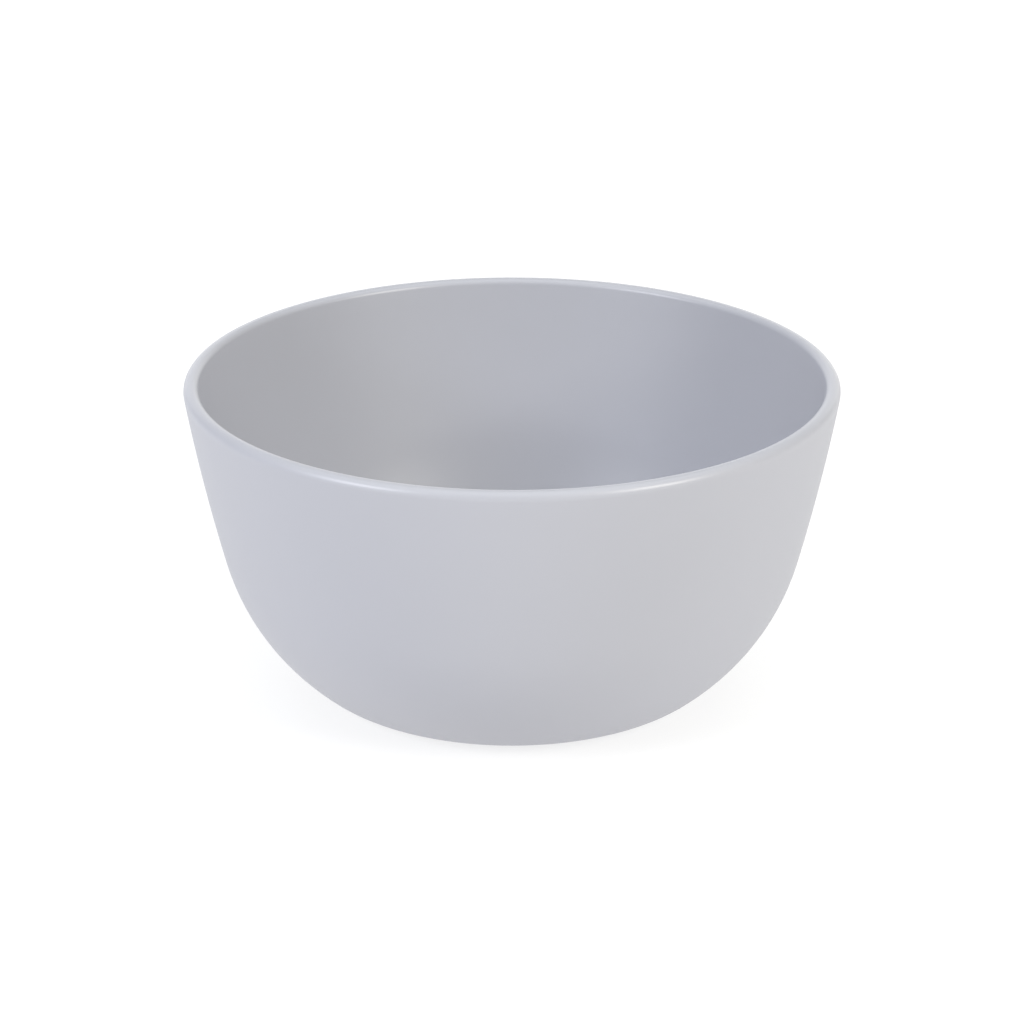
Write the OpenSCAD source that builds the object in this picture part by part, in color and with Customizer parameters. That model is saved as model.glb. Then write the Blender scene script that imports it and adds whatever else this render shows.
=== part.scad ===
// Deep round bowl for dips, chips and other small servings, moulded in one piece.
// Millimetres, +Z up, Z = 0 on the table, Z axis through the middle of the bowl.

/* [Overall size] */
// outside diameter across the lip
rim_d = 150; // [118:1:240]
// height from the table to the top of the lip
bowl_h = 74; // [62:1:96]

/* [Side] */
// thickness of the side wall
wall_t = 3.5; // [2.4:0.1:5]
// lean of the side away from upright, just under the lip, in degrees
side_lean = 9.6; // [7:0.2:13]
// radius of the long, nearly straight side
side_r = 460; // [360:10:800]

/* [Lip] */
// rounding of the outer edge of the lip
lip_outer_r = 1.8; // [0.8:0.1:2.4]
// rounding of the inner edge of the lip
lip_inner_r = 1.5; // [0.5:0.1:2]

/* [Belly and bottom] */
// outside radius of the belly, below the side
belly_r = 55; // [45:1:66]
// slope, in degrees from upright, where the belly hands over to the turn
belly_end = 51; // [46:1:56]
// outside radius of the turn from the belly into the bottom
turn_r = 17; // [12:1:24]
// inside radius of the turn from the belly into the floor
floor_turn_r = 15; // [10:1:22]
// thickness of the bottom above the resting ring
base_t = 4; // [3:0.1:6]

/* [Underside] */
// width of the flat ring that rests on the table
ring_w = 6; // [3:0.5:10]
// depth of the shallow hollow inside the resting ring
hollow_d = 1; // [0.4:0.1:1.6]

/* [Hidden] */
$fn = 240;
grey = [0.79, 0.79, 0.81];
// neighbouring arcs overlap by this much, so that they cross cleanly instead of only touching
lap = 0.002;
// how far a helper shape reaches past the edge it has to cover or cut
spare = 1;
// how far an arc's window reaches inwards from its chord, and the slope it laps upwards
window_in = 2;
window_up = 3;

rim_r = rim_d / 2;
// The two roundings share the width of the lip, so a large one leaves less room for the other.
lip_room = 0.96 * wall_t / cos(side_lean);
// width that a rounding takes for each millimetre of its radius, outside and inside
outer_share = tan(45 + side_lean / 2);
inner_share = tan(45 - side_lean / 2);
lip_ro = min(lip_outer_r, 0.62 * wall_t);
lip_ri = min(lip_inner_r, (lip_room - lip_ro * outer_share) / inner_share);
lip_oc = [rim_r - lip_ro, bowl_h - lip_ro];

// A slope of 0 is an upright wall and 90 is level; out_from gives the outward direction there.
function out_from(slope) = [cos(slope), -sin(slope)];
// slope at which the side has to end for side, belly and turn to finish level at floor_z
function side_end(centre_z, r1, r2, r3, floor_z) =
    asin((centre_z - floor_z - r3 - (r2 - r3) * sin(belly_end)) / (r1 - r2));
// the arcs of one wall face from the side down: [centre, radius, slope at top, slope at bottom]
function wall_arcs(c1, r1, r2, r3, top, floor_z) =
    let (
        a1 = side_end(c1[1], r1, r2, r3, floor_z),
        c2 = c1 + (r1 - r2) * out_from(a1),
        c3 = c2 + (r2 - r3) * out_from(belly_end)
    )
    [[c1, r1, top, a1], [c2, r2, a1, belly_end], [c3, r3, belly_end, 90]];

side_c = lip_oc - (side_r - lip_ro) * out_from(side_lean);
outer_arcs = wall_arcs(side_c, side_r, belly_r, turn_r, side_lean, 0);
// the inner face of the side shares its centre with the outer face
inner_side_r = side_r - wall_t;
lip_ic_z = bowl_h - lip_ri;
lip_in_slope = asin((side_c[1] - lip_ic_z) / (inner_side_r + lip_ri));
lip_ic = side_c + (inner_side_r + lip_ri) * out_from(lip_in_slope);
open_slope = asin((side_c[1] - bowl_h - 2 * spare) / inner_side_r);
inner_arcs =
    wall_arcs(side_c, inner_side_r, belly_r - wall_t, floor_turn_r, open_slope, base_t);
// the resting ring starts where the outside turn comes level with the table
ring_r = outer_arcs[2][0][0];
hollow_r = ring_r - ring_w;

// One arc and a strip of the area behind it. lap_up is the extra slope it covers above its start.
module arc_strip(arc, extra_r, lap_up) {
    c = arc[0];
    r = arc[1];
    from = arc[2] - lap_up;
    to = arc[3];
    reach = r / cos((to - from) / 2) + spare;
    inside = r * cos((to - from) / 2) - window_in;
    intersection() {
        translate(c)
            circle(r + extra_r);
        polygon([
            c + inside * out_from(from),
            c + reach * out_from(from),
            c + reach * out_from(to),
            c + inside * out_from(to)
        ]);
    }
}

// Everything between the centre line and one face of the wall.
module face_area(arcs, top_points) {
    corner = [for (arc = arcs) arc[0] + arc[1] * out_from(arc[2])];
    ground = arcs[2][0] + arcs[2][1] * out_from(90);
    for (i = [0 : len(arcs) - 1])
        arc_strip(arcs[i], i * lap, i == 0 ? 0 : window_up);
    polygon(concat(
        [[-spare, ground[1] - spare], [ground[0], ground[1] - spare], ground],
        [corner[2], corner[1], corner[0]],
        top_points
    ));
}

// The wall cut through along the centre line, before it is trimmed level at the top and bottom.
module wall_section() {
    difference() {
        union() {
            face_area(outer_arcs, [
                lip_oc,
                [lip_oc[0], bowl_h + spare],
                [-spare, bowl_h + spare]
            ]);
            translate(lip_oc)
                circle(lip_ro + lap);
        }
        inside_area();
        // the sharp inner corner of the lip, which its rounding replaces
        polygon([
            lip_ic,
            [lip_ic[0], bowl_h + 2 * spare],
            [lip_ic[0] - wall_t, bowl_h + 2 * spare],
            lip_ic - 2 * wall_t * out_from(lip_in_slope)
        ]);
    }
    translate(lip_ic)
        circle(lip_ri + lap);
}

// The space inside the bowl, open at the top.
module inside_area() {
    top = inner_arcs[0][0] + inner_side_r * out_from(open_slope);
    intersection() {
        face_area(inner_arcs, [[-spare, top[1]]]);
        translate([-spare, base_t])
            square([rim_r + spare, bowl_h]);
    }
}

module bowl() {
    color(grey)
        rotate_extrude()
            difference() {
                intersection() {
                    square([rim_d, bowl_h]);
                    wall_section();
                }
                polygon([
                    [-spare, -spare],
                    [hollow_r + spare, -spare],
                    [hollow_r - hollow_d, hollow_d],
                    [-spare, hollow_d]
                ]);
            }
}

bowl();
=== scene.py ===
# %% [markdown]
# # A deep round bowl with a satin finish
#
# The real bowl is one piece of moulded plastic: a nearly straight side, a belly that curves into
# the bottom, a rounded lip, and a flat ring underneath that it stands on. This lesson draws the
# wall as one line of arcs, turns that line once round the middle, and then spends its time on the
# finish and the light, because on a plain bowl those are what the eye reads.

# %% Load the measured frame
from math import asin, cos, degrees, pi, radians, sin, sqrt

import bmesh
import bpy
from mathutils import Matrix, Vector


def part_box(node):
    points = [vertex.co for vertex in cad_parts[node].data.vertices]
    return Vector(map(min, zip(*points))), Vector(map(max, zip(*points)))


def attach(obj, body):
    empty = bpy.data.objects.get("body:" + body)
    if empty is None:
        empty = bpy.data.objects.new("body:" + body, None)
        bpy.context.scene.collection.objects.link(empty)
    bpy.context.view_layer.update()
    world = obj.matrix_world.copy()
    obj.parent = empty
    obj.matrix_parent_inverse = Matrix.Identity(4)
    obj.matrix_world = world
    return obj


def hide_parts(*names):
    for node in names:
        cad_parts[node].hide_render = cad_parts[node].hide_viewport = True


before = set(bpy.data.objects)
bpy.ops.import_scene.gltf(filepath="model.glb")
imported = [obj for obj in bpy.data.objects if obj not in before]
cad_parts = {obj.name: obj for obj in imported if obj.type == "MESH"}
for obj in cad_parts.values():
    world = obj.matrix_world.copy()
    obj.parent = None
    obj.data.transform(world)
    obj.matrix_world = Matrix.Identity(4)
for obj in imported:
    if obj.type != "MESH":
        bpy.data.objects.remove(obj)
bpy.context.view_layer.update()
low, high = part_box("bowl")
rim_radius = (high.x - low.x) / 2
height = high.z
print(f"bowl: {2000 * rim_radius:.1f} mm across, {1000 * height:.1f} mm high")

# %% [markdown]
# ## The camera comes first
#
# A long lens from a little under a metre away keeps the mouth of the bowl an even oval. The camera
# looks down by about 21 degrees, so the lip, the far inside wall and the whole outside are in view.
# It is set up before anything is made, so that every step can be judged from the right place.

# %% Camera
look_down = radians(21.25)
camera_distance = 0.9264
aim_height = 0.0407
lens_mm = 140.6
sensor_mm = 36

camera_data = bpy.data.cameras.new("camera")
camera_data.lens = lens_mm
camera_data.sensor_width = sensor_mm
camera = bpy.data.objects.new("camera", camera_data)
bpy.context.scene.collection.objects.link(camera)
camera.location = (
    0, -camera_distance * cos(look_down), aim_height + camera_distance * sin(look_down)
)
camera.rotation_euler = (pi / 2 - look_down, 0, 0)
bpy.context.scene.camera = camera
print(f"camera {1000 * camera_distance:.0f} mm away, looking down {degrees(look_down):.1f} degrees")

# %% [markdown]
# ## The drawing of the wall
#
# A mould maker turns a shape like this from a drawing of arcs that run into each other without a
# corner. The same drawing works here: each face of the wall is a long arc for the side, a tighter
# one for the belly and a small one for the turn into the bottom. Where two arcs meet, both centres
# lie on one line through the meeting point, and that is all it takes to make the join smooth.
# A polygon of guessed points would show as ripples in the reflections.

# %% Centres of the arcs
wall = 0.0035
bottom = 0.004
side_lean = radians(9.6)
side_radius = 0.46
belly_radius = 0.055
belly_end = radians(51)
turn_radius = 0.017
floor_turn_radius = 0.015
lip_outer = 0.0018
lip_inner = 0.0015
level = pi / 2


def outward(slope):
    """Direction straight out of a wall with this slope: 0 is upright, a right angle is level."""
    return Vector((cos(slope), 0, -sin(slope)))


def wall_arcs(centre, side, belly, turn, start, ground):
    """Side, belly and turn as (centre, radius, first slope, last slope), ending level at ground."""
    drop = centre.z - ground - turn - (belly - turn) * sin(belly_end)
    side_end = asin(drop / (side - belly))
    belly_centre = centre + (side - belly) * outward(side_end)
    turn_centre = belly_centre + (belly - turn) * outward(belly_end)
    return [
        (centre, side, start, side_end),
        (belly_centre, belly, side_end, belly_end),
        (turn_centre, turn, belly_end, level),
    ]


lip_centre = Vector((rim_radius - lip_outer, 0, height - lip_outer))
side_centre = lip_centre - (side_radius - lip_outer) * outward(side_lean)
outer_arcs = wall_arcs(side_centre, side_radius, belly_radius, turn_radius, side_lean, 0)

inner_reach = side_radius - wall + lip_inner
inner_lean = asin((side_centre.z - height + lip_inner) / inner_reach)
inner_lip_centre = side_centre + inner_reach * outward(inner_lean)
inner_arcs = wall_arcs(
    side_centre, side_radius - wall, belly_radius - wall, floor_turn_radius, inner_lean, bottom
)
ring_outer = outer_arcs[-1][0].x
print(f"side ends at a slope of {degrees(outer_arcs[0][3]):.1f} degrees")
print(f"outer edge of the resting ring: {1000 * ring_outer:.1f} mm from the middle")

# %% [markdown]
# ## A pen for the line
#
# The line starts as one point in the middle of the floor. A straight stretch extrudes that point
# and moves the new one. A round stretch spins it about a centre. Each call carries on from the
# last point, as a pen would, so the arcs above become a line with no gaps and no guesswork.

# %% Pen
def line_to(mesh, point, x, z):
    """Carry the line straight on to a new place."""
    new = bmesh.ops.extrude_vert_indiv(mesh, verts=[point])["verts"][0]
    bmesh.ops.translate(mesh, verts=[new], vec=Vector((x, 0, z)) - new.co)
    return new


def arc(mesh, point, centre, turn, steps):
    """Carry the line on round a centre; with Z up and X right, a positive turn is clockwise."""
    swept = bmesh.ops.spin(
        mesh, geom=[point], cent=centre, axis=(0, 1, 0), angle=turn, steps=steps, use_merge=False
    )
    return [v for v in swept["geom_last"] if isinstance(v, bmesh.types.BMVert)][0]


side_steps, belly_steps, turn_steps, lip_steps, corner_steps = 12, 14, 8, 12, 4

bowl_mesh = bmesh.new()
pen = bmesh.ops.create_vert(bowl_mesh, co=(0, 0, bottom))["vert"][0]

# %% [markdown]
# ## Up the inside, over the lip and down the outside
#
# The inside is drawn from the floor upwards, so its arcs are taken in reverse. The lip has two
# roundings, a small one towards the inside and a larger one outside, with a narrow level strip
# between them. The mould parts along that strip, and the edge is rounded so that it is kind to
# hands and lips. Those two roundings hold the only bright streaks on the whole bowl.

# %% Inside, lip and outside
pen = line_to(bowl_mesh, pen, inner_arcs[-1][0].x, bottom)
steps_down = (side_steps, belly_steps, turn_steps)
for (centre, radius, first, last), steps in reversed(list(zip(inner_arcs, steps_down))):
    pen = arc(bowl_mesh, pen, centre, first - last, steps)

pen = arc(bowl_mesh, pen, inner_lip_centre, level - inner_lean, lip_steps)
pen = line_to(bowl_mesh, pen, lip_centre.x, height)
pen = arc(bowl_mesh, pen, lip_centre, level + side_lean, lip_steps)
print(f"lip drawn; the pen is {1000 * (rim_radius - pen.co.x):.2f} mm inside the widest point")

for (centre, radius, first, last), steps in zip(outer_arcs, steps_down):
    pen = arc(bowl_mesh, pen, centre, last - first, steps)
print(f"back at the table: pen at {1000 * pen.co.x:.1f} mm out, {1000 * pen.co.z:.3f} mm up")

# %% [markdown]
# ## The resting ring and the hollow
#
# A wide flat bottom would rock on the smallest crumb, so moulded bowls stand on a ring with a
# shallow hollow inside it. The hollow's wall slants, to let the mould open, and both of its corners
# are rounded a little: a moulded edge is never knife sharp.

# %% Ring and hollow
ring_width = 0.006
hollow_depth = 0.001
corner = 0.0003
slant = pi / 4

hollow_radius = ring_outer - ring_width
corner_shift = corner * (sqrt(2) - 1)
edge_x = hollow_radius + corner_shift
roof_x = hollow_radius - hollow_depth - corner_shift
slant_reach = corner * (1 - cos(slant))

pen = line_to(bowl_mesh, pen, edge_x, 0)
pen = arc(bowl_mesh, pen, (edge_x, 0, corner), slant, corner_steps)
pen = line_to(
    bowl_mesh, pen, hollow_radius - hollow_depth + slant_reach, hollow_depth - slant_reach
)
pen = arc(bowl_mesh, pen, (roof_x, 0, hollow_depth - corner), -slant, corner_steps)
pen = line_to(bowl_mesh, pen, 0, hollow_depth)
print(f"the line of the wall has {len(bowl_mesh.verts)} points")

# %% [markdown]
# ## Turning the line into the bowl
#
# One full spin about the upright axis makes the whole surface, and merging its last copy with its
# first closes the seam. The two points on the axis are spun on the spot, so their copies are merged
# as well. Only then are the normals made to point outwards: on a shell that is already closed,
# Blender can tell outside from inside.

# %% Spin
spin_steps = 256
merge_distance = 1e-6

bmesh.ops.spin(
    bowl_mesh,
    geom=bowl_mesh.verts[:] + bowl_mesh.edges[:],
    cent=(0, 0, 0),
    axis=(0, 0, 1),
    angle=2 * pi,
    steps=spin_steps,
    use_merge=True,
)
bmesh.ops.remove_doubles(bowl_mesh, verts=bowl_mesh.verts, dist=merge_distance)
bmesh.ops.recalc_face_normals(bowl_mesh, faces=bowl_mesh.faces)
for face in bowl_mesh.faces:
    face.smooth = True
open_edges = sum(not edge.is_manifold for edge in bowl_mesh.edges)
print(f"{len(bowl_mesh.faces)} faces, {open_edges} open edges")
print(f"volume {1e6 * bowl_mesh.calc_volume(signed=True):.1f} cm3")

# %% Bowl object
bowl_data = bpy.data.meshes.new("bowl_shell")
bowl_mesh.to_mesh(bowl_data)
bowl_mesh.free()
bowl = bpy.data.objects.new("bowl_shell", bowl_data)
bpy.context.scene.collection.objects.link(bowl)
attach(bowl, "root")
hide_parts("bowl")
print(f"{bowl.name}: {len(bowl_data.vertices)} points, in place of the measured bowl")

# %% [markdown]
# ## Effects as node groups
#
# Each effect below is a small group with named inputs, built once and then placed where it is
# wanted with its own values. They all read a place in metres, so a grain of half a millimetre is
# half a millimetre on every piece.

# %% Helpers for node groups
def new_group(name, inputs, outputs):
    """An empty shader group with typed, named sockets; returns it with its two end nodes."""
    group = bpy.data.node_groups.new(name, "ShaderNodeTree")
    for socket_name, kind, default in inputs:
        socket = group.interface.new_socket(socket_name, in_out="INPUT", socket_type=kind)
        if default is not None:
            socket.default_value = default
    for socket_name, kind in outputs:
        group.interface.new_socket(socket_name, in_out="OUTPUT", socket_type=kind)
    return group, group.nodes.new("NodeGroupInput"), group.nodes.new("NodeGroupOutput")


def math_node(tree, operation, first, second=None, third=None):
    """A Math node; each of the values is a number or a socket to read."""
    node = tree.nodes.new("ShaderNodeMath")
    node.operation = operation
    for index, value in enumerate((first, second, third)):
        if isinstance(value, bpy.types.NodeSocket):
            tree.links.new(value, node.inputs[index])
        elif value is not None:
            node.inputs[index].default_value = value
    return node.outputs[0]


def noise(tree, place, scale, detail, roughness=0.5):
    """Noise from 0 to 1 at a place; scale is in cells per metre."""
    node = tree.nodes.new("ShaderNodeTexNoise")
    node.inputs["Detail"].default_value = detail
    node.inputs["Roughness"].default_value = roughness
    tree.links.new(place, node.inputs["Vector"])
    if isinstance(scale, bpy.types.NodeSocket):
        tree.links.new(scale, node.inputs["Scale"])
    else:
        node.inputs["Scale"].default_value = scale
    return node.outputs["Fac"]


def step_between(tree, value, start, end):
    """0 below start, 1 above end, and a soft ramp between; start and end are numbers or sockets."""
    node = tree.nodes.new("ShaderNodeMapRange")
    node.interpolation_type = "SMOOTHSTEP"
    for name, given in (("Value", value), ("From Min", start), ("From Max", end)):
        if isinstance(given, bpy.types.NodeSocket):
            tree.links.new(given, node.inputs[name])
        else:
            node.inputs[name].default_value = given
    return node.outputs["Result"]


# %% [markdown]
# ### Moulded skin
#
# The mould's steel is finely blasted, and the plastic shrinks a little unevenly as it cools. So the
# skin has a grain that is felt more than seen, and a very shallow ripple that is seen only where a
# highlight runs over it. One group gives both as a height in metres.

# %% Group: moulded skin
grain_detail, ripple_detail = 2, 1

skin, skin_in, skin_out = new_group(
    "moulded skin",
    [
        ("Place", "NodeSocketVector", None),
        ("Grain Size", "NodeSocketFloat", 0.0005),
        ("Grain Depth", "NodeSocketFloat", 0.000002),
        ("Ripple Size", "NodeSocketFloat", 0.02),
        ("Ripple Depth", "NodeSocketFloat", 0.00002),
    ],
    [("Height", "NodeSocketFloat")],
)
grain_cells = math_node(skin, "DIVIDE", 1, skin_in.outputs["Grain Size"])
ripple_cells = math_node(skin, "DIVIDE", 1, skin_in.outputs["Ripple Size"])
grain = noise(skin, skin_in.outputs["Place"], grain_cells, grain_detail)
ripple = noise(skin, skin_in.outputs["Place"], ripple_cells, ripple_detail)
grain_height = math_node(skin, "MULTIPLY", grain, skin_in.outputs["Grain Depth"])
skin_height = math_node(
    skin, "MULTIPLY_ADD", ripple, skin_in.outputs["Ripple Depth"], grain_height
)
skin.links.new(skin_height, skin_out.inputs["Height"])

# %% [markdown]
# ### Tone drift
#
# Pigment is never stirred in perfectly, and handling dulls some patches. The group moves a colour
# up and down by a percent or so over patches of a few centimetres, and hands out the same drift as
# a value, so that the gloss can follow the colour.

# %% Group: tone drift
patch_detail, patch_roughness = 3, 0.6

drift, drift_in, drift_out = new_group(
    "tone drift",
    [
        ("Place", "NodeSocketVector", None),
        ("Colour", "NodeSocketColor", (0.8, 0.8, 0.8, 1)),
        ("Patch Size", "NodeSocketFloat", 0.03),
        ("Amount", "NodeSocketFloat", 0.02),
    ],
    [("Colour", "NodeSocketColor"), ("Drift", "NodeSocketFloat")],
)
patch_cells = math_node(drift, "DIVIDE", 1, drift_in.outputs["Patch Size"])
patches = noise(drift, drift_in.outputs["Place"], patch_cells, patch_detail, patch_roughness)
centred = math_node(drift, "SUBTRACT", patches, 0.5)
gain = math_node(drift, "MULTIPLY_ADD", centred, drift_in.outputs["Amount"], 1)
scaled = drift.nodes.new("ShaderNodeVectorMath")
scaled.operation = "SCALE"
drift.links.new(drift_in.outputs["Colour"], scaled.inputs[0])
drift.links.new(gain, scaled.inputs["Scale"])
drift.links.new(scaled.outputs[0], drift_out.inputs["Colour"])
drift.links.new(centred, drift_out.inputs["Drift"])

# %% [markdown]
# ### Small marks
#
# Up close, such plastic shows the odd dark speck of scorched resin and the odd pinhole where a
# bubble met the mould. Both are dots: rare, and smaller than a millimetre. A Voronoi texture deals
# out one point per cell, the cell's random colour decides whether that cell has a dot, and the
# distance to the point draws it.

# %% Group: small marks
marks, marks_in, marks_out = new_group(
    "small marks",
    [
        ("Place", "NodeSocketVector", None),
        ("Cell Size", "NodeSocketFloat", 0.01),
        ("Dot Size", "NodeSocketFloat", 0.0004),
        ("Share", "NodeSocketFloat", 0.1),
    ],
    [("Mask", "NodeSocketFloat")],
)
solid_share = 0.4

cells = marks.nodes.new("ShaderNodeTexVoronoi")
marks.links.new(marks_in.outputs["Place"], cells.inputs["Vector"])
marks.links.new(math_node(marks, "DIVIDE", 1, marks_in.outputs["Cell Size"]), cells.inputs["Scale"])
dot_reach = math_node(marks, "DIVIDE", marks_in.outputs["Dot Size"], marks_in.outputs["Cell Size"])
dot_core = math_node(marks, "MULTIPLY", dot_reach, solid_share)
outside_dot = step_between(marks, cells.outputs["Distance"], dot_core, dot_reach)
chosen_parts = marks.nodes.new("ShaderNodeSeparateColor")
marks.links.new(cells.outputs["Color"], chosen_parts.inputs["Color"])
chosen = math_node(marks, "LESS_THAN", chosen_parts.outputs[0], marks_in.outputs["Share"])
dots = math_node(marks, "MULTIPLY", math_node(marks, "SUBTRACT", 1, outside_dot), chosen)
marks.links.new(dots, marks_out.inputs["Mask"])

# %% [markdown]
# ### Height band
#
# Hands and the table polish a bowl at two heights only: along the lip and under the ring. The group
# gives 1 at a height and fades to 0 away from it.

# %% Group: height band
band, band_in, band_out = new_group(
    "height band",
    [
        ("Place", "NodeSocketVector", None),
        ("Height", "NodeSocketFloat", 0),
        ("Fade", "NodeSocketFloat", 0.002),
    ],
    [("Mask", "NodeSocketFloat")],
)
place_parts = band.nodes.new("ShaderNodeSeparateXYZ")
band.links.new(band_in.outputs["Place"], place_parts.inputs[0])
above = math_node(band, "SUBTRACT", place_parts.outputs["Z"], band_in.outputs["Height"])
away = math_node(band, "ABSOLUTE", above)
far = step_between(band, away, 0, band_in.outputs["Fade"])
band.links.new(math_node(band, "SUBTRACT", 1, far), band_out.inputs["Mask"])
print("groups:", ", ".join(group.name for group in bpy.data.node_groups))

# %% [markdown]
# ## Satin plastic
#
# The material is a pale, slightly cool grey with a satin surface. Its colour drifts by about a
# percent, its gloss follows the drift, the lip is smoother than the wall because it is handled and
# polished, and the ring underneath is scuffed. Specks darken the colour and pinholes dent the
# surface. A plain grey with one roughness would look like a drawing of a bowl.

# %% Helpers for materials
def new_material(name):
    """A bare new material; returns it with its tree, its shader and a socket for places."""
    material = bpy.data.materials.new(name)
    material.use_nodes = True
    tree = material.node_tree
    tree.nodes.clear()
    shader = tree.nodes.new("ShaderNodeBsdfPrincipled")
    output = tree.nodes.new("ShaderNodeOutputMaterial")
    tree.links.new(shader.outputs["BSDF"], output.inputs["Surface"])
    place = tree.nodes.new("ShaderNodeTexCoord").outputs["Object"]
    return material, tree, shader, place


def place_group(tree, group, place, **values):
    """Put a group into a material; underscores in the values' names stand for spaces."""
    node = tree.nodes.new("ShaderNodeGroup")
    node.node_tree = group
    tree.links.new(place, node.inputs["Place"])
    for name, value in values.items():
        node.inputs[name.replace("_", " ")].default_value = value
    return node


def bump_from(tree, height_socket, strength, shader):
    """Let a height in metres turn the surface's normal."""
    node = tree.nodes.new("ShaderNodeBump")
    node.inputs["Strength"].default_value = strength
    node.inputs["Distance"].default_value = 1
    tree.links.new(height_socket, node.inputs["Height"])
    tree.links.new(node.outputs["Normal"], shader.inputs["Normal"])
    return node


# %% Satin plastic
plastic_colour = (0.417, 0.42, 0.46, 1)
satin = 0.42
gloss_drift = 0.12
lip_polish = -0.1
ring_scuff = 0.15
speck_colour = (0.3, 0.3, 0.32, 1)
speck_strength = 0.5
pinhole_depth = 0.00008
relief_strength = 0.6
plastic_ior = 1.5

plastic, tree, shader, place = new_material("satin plastic")
tone = place_group(tree, drift, place, Colour=plastic_colour, Patch_Size=0.035, Amount=0.03)
specks = place_group(tree, marks, place, Cell_Size=0.016, Dot_Size=0.0004, Share=0.1)
pinholes = place_group(tree, marks, place, Cell_Size=0.023, Dot_Size=0.0005, Share=0.06)
lip_band = place_group(tree, band, place, Height=height, Fade=0.004)
ring_band = place_group(tree, band, place, Height=0, Fade=0.0012)

speck_mix = tree.nodes.new("ShaderNodeMix")
speck_mix.data_type = "RGBA"
speck_mix.inputs["B"].default_value = speck_colour
speck_share = math_node(tree, "MULTIPLY", specks.outputs["Mask"], speck_strength)
tree.links.new(speck_share, speck_mix.inputs["Factor"])
tree.links.new(tone.outputs["Colour"], speck_mix.inputs["A"])
tree.links.new(speck_mix.outputs["Result"], shader.inputs["Base Color"])

gloss = math_node(tree, "MULTIPLY_ADD", tone.outputs["Drift"], gloss_drift, satin)
gloss = math_node(tree, "MULTIPLY_ADD", lip_band.outputs["Mask"], lip_polish, gloss)
gloss = math_node(tree, "MULTIPLY_ADD", ring_band.outputs["Mask"], ring_scuff, gloss)
tree.links.new(gloss, shader.inputs["Roughness"])

grain_and_ripple = place_group(
    tree, skin, place,
    Grain_Size=0.0006, Grain_Depth=0.000003, Ripple_Size=0.018, Ripple_Depth=0.00002,
)
surface = grain_and_ripple.outputs["Height"]
relief = math_node(tree, "MULTIPLY_ADD", pinholes.outputs["Mask"], -pinhole_depth, surface)
bump_from(tree, relief, relief_strength, shader)
shader.inputs["IOR"].default_value = plastic_ior
bowl.data.materials.append(plastic)
print(f"satin plastic: {len(tree.nodes)} nodes")

# %% [markdown]
# ## Floor
#
# A plain pale floor, wide enough to fill the view from every side. It glows like a light table.
# The glow comes from the shader's own emission, and it does two jobs: it lights the belly from
# below, and it thins the shadow under the bowl. Far from the bowl the boxes light the floor less,
# so the glow rises there, and the floor stays as white as the tent behind it.

# %% Floor
floor_half = 5
floor_colour = (0.3, 0.3, 0.3, 1)
near_glow = (0.72, 0.72, 0.72, 1)
far_glow = (0.9, 0.9, 0.9, 1)
near_edge, far_edge = 0.4, 1.2
floor_roughness = 0.7
floor_specular = 0.2

floor_mesh = bmesh.new()
bmesh.ops.create_grid(floor_mesh, x_segments=1, y_segments=1, size=floor_half)
floor_data = bpy.data.meshes.new("floor")
floor_mesh.to_mesh(floor_data)
floor_mesh.free()
floor = bpy.data.objects.new("floor", floor_data)
bpy.context.scene.collection.objects.link(floor)

paper, tree, shader, place = new_material("pale floor")
tone = place_group(tree, drift, place, Colour=floor_colour, Patch_Size=0.4, Amount=0.01)
tree.links.new(tone.outputs["Colour"], shader.inputs["Base Color"])
shader.inputs["Roughness"].default_value = floor_roughness
shader.inputs["Specular IOR Level"].default_value = floor_specular

from_bowl = tree.nodes.new("ShaderNodeVectorMath")
from_bowl.operation = "LENGTH"
tree.links.new(place, from_bowl.inputs[0])
far_away = step_between(tree, from_bowl.outputs["Value"], near_edge, far_edge)

glow = tree.nodes.new("ShaderNodeMix")
glow.data_type = "RGBA"
glow.inputs["A"].default_value = near_glow
glow.inputs["B"].default_value = far_glow
tree.links.new(far_away, glow.inputs["Factor"])
tree.links.new(glow.outputs["Result"], shader.inputs["Emission Color"])
shader.inputs["Emission Strength"].default_value = 1
floor.data.materials.append(paper)
print(f"floor: {2 * floor_half} m wide, {len(tree.nodes)} nodes")

# %% [markdown]
# ## Light tent
#
# The world is an even white tent round the whole scene. The Light Path node tells the camera's own
# rays from all others. The tent can then look white behind the bowl and still light it gently.

# %% Light tent
tent_light = 0.42
tent_seen = 1.0

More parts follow.
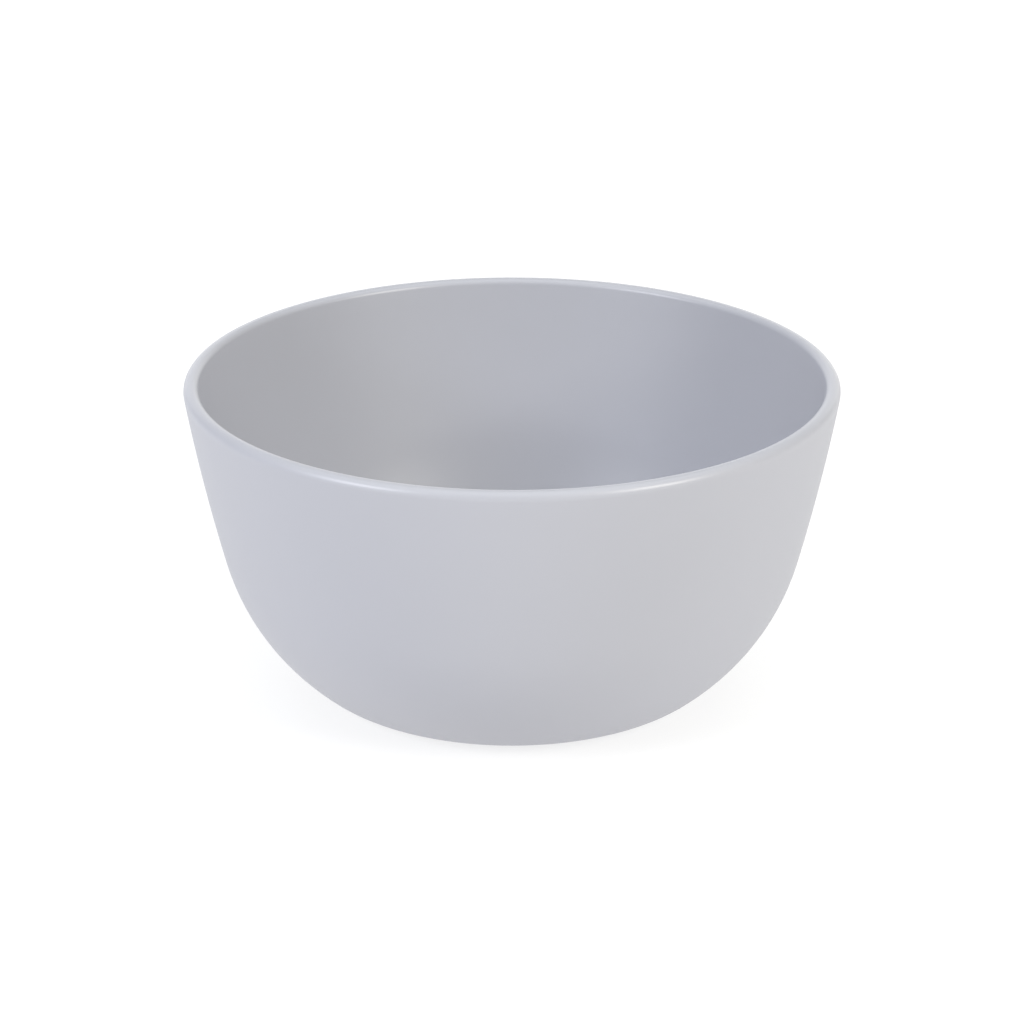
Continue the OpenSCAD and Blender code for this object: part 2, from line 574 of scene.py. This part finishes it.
world = bpy.data.worlds.new("white tent")
world.use_nodes = True
bpy.context.scene.world = world
tree = world.node_tree
tent = tree.nodes["Background"]
tent.inputs["Color"].default_value = (1, 1, 1, 1)
seen = tree.nodes.new("ShaderNodeLightPath").outputs["Is Camera Ray"]
tent_strength = math_node(tree, "MULTIPLY_ADD", seen, tent_seen - tent_light, tent_light)
tree.links.new(tent_strength, tent.inputs["Strength"])
print(f"tent: strength {tent_light} on the bowl, {tent_seen} to the camera")

# %% [markdown]
# ## Soft boxes
#
# Four soft boxes shape the bowl. The left and the right box stand in front and put a streak on the
# lip's outer rounding. The top box lifts the inside. The back box is what the level lip mirrors, so
# it is wide and reaches down to the floor. The left box is cooler than the right one, which keeps
# the two sides apart.


# %% Soft boxes
def soft_box(name, azimuth, elevation, distance, width, depth, power, colour):
    """An area light that faces the bowl; azimuth 0 is the camera's side, positive to the right."""
    data = bpy.data.lights.new(name, "AREA")
    data.shape = "RECTANGLE"
    data.size = width
    data.size_y = depth
    data.energy = power
    data.color = colour
    lamp = bpy.data.objects.new(name, data)
    bpy.context.scene.collection.objects.link(lamp)
    turn, lift = radians(azimuth), radians(elevation)
    toward = Vector((sin(turn) * cos(lift), -cos(turn) * cos(lift), sin(lift)))
    lamp.location = Vector((0, 0, aim_height)) + distance * toward
    lamp.rotation_mode = "QUATERNION"
    lamp.rotation_quaternion = toward.to_track_quat("Z", "Y")
    lamp.visible_camera = False


neutral = (1, 1, 1)
# name, azimuth, elevation, distance, width, depth, power in watts, colour
boxes = (
    ("left box", -55, 29, 1.2, 0.5, 0.5, 7.9, (0.905, 0.935, 1)),
    ("right box", 51, 29, 1.2, 0.44, 0.5, 7.95, (1, 0.975, 0.88)),
    ("top box", 0, 88, 1.2, 1.6, 1.6, 8.5, (0.935, 0.99, 1)),
    ("back box", 180, 14, 1.5, 2.2, 0.8, 5.5, neutral),
)
for name, azimuth, elevation, distance, width, depth, power, colour in boxes:
    soft_box(name, azimuth, elevation, distance, width, depth, power, colour)
    print(f"{name}: {power} W from {azimuth} degrees round and {elevation} degrees up")

bpy.context.scene.view_settings.view_transform = "Standard"
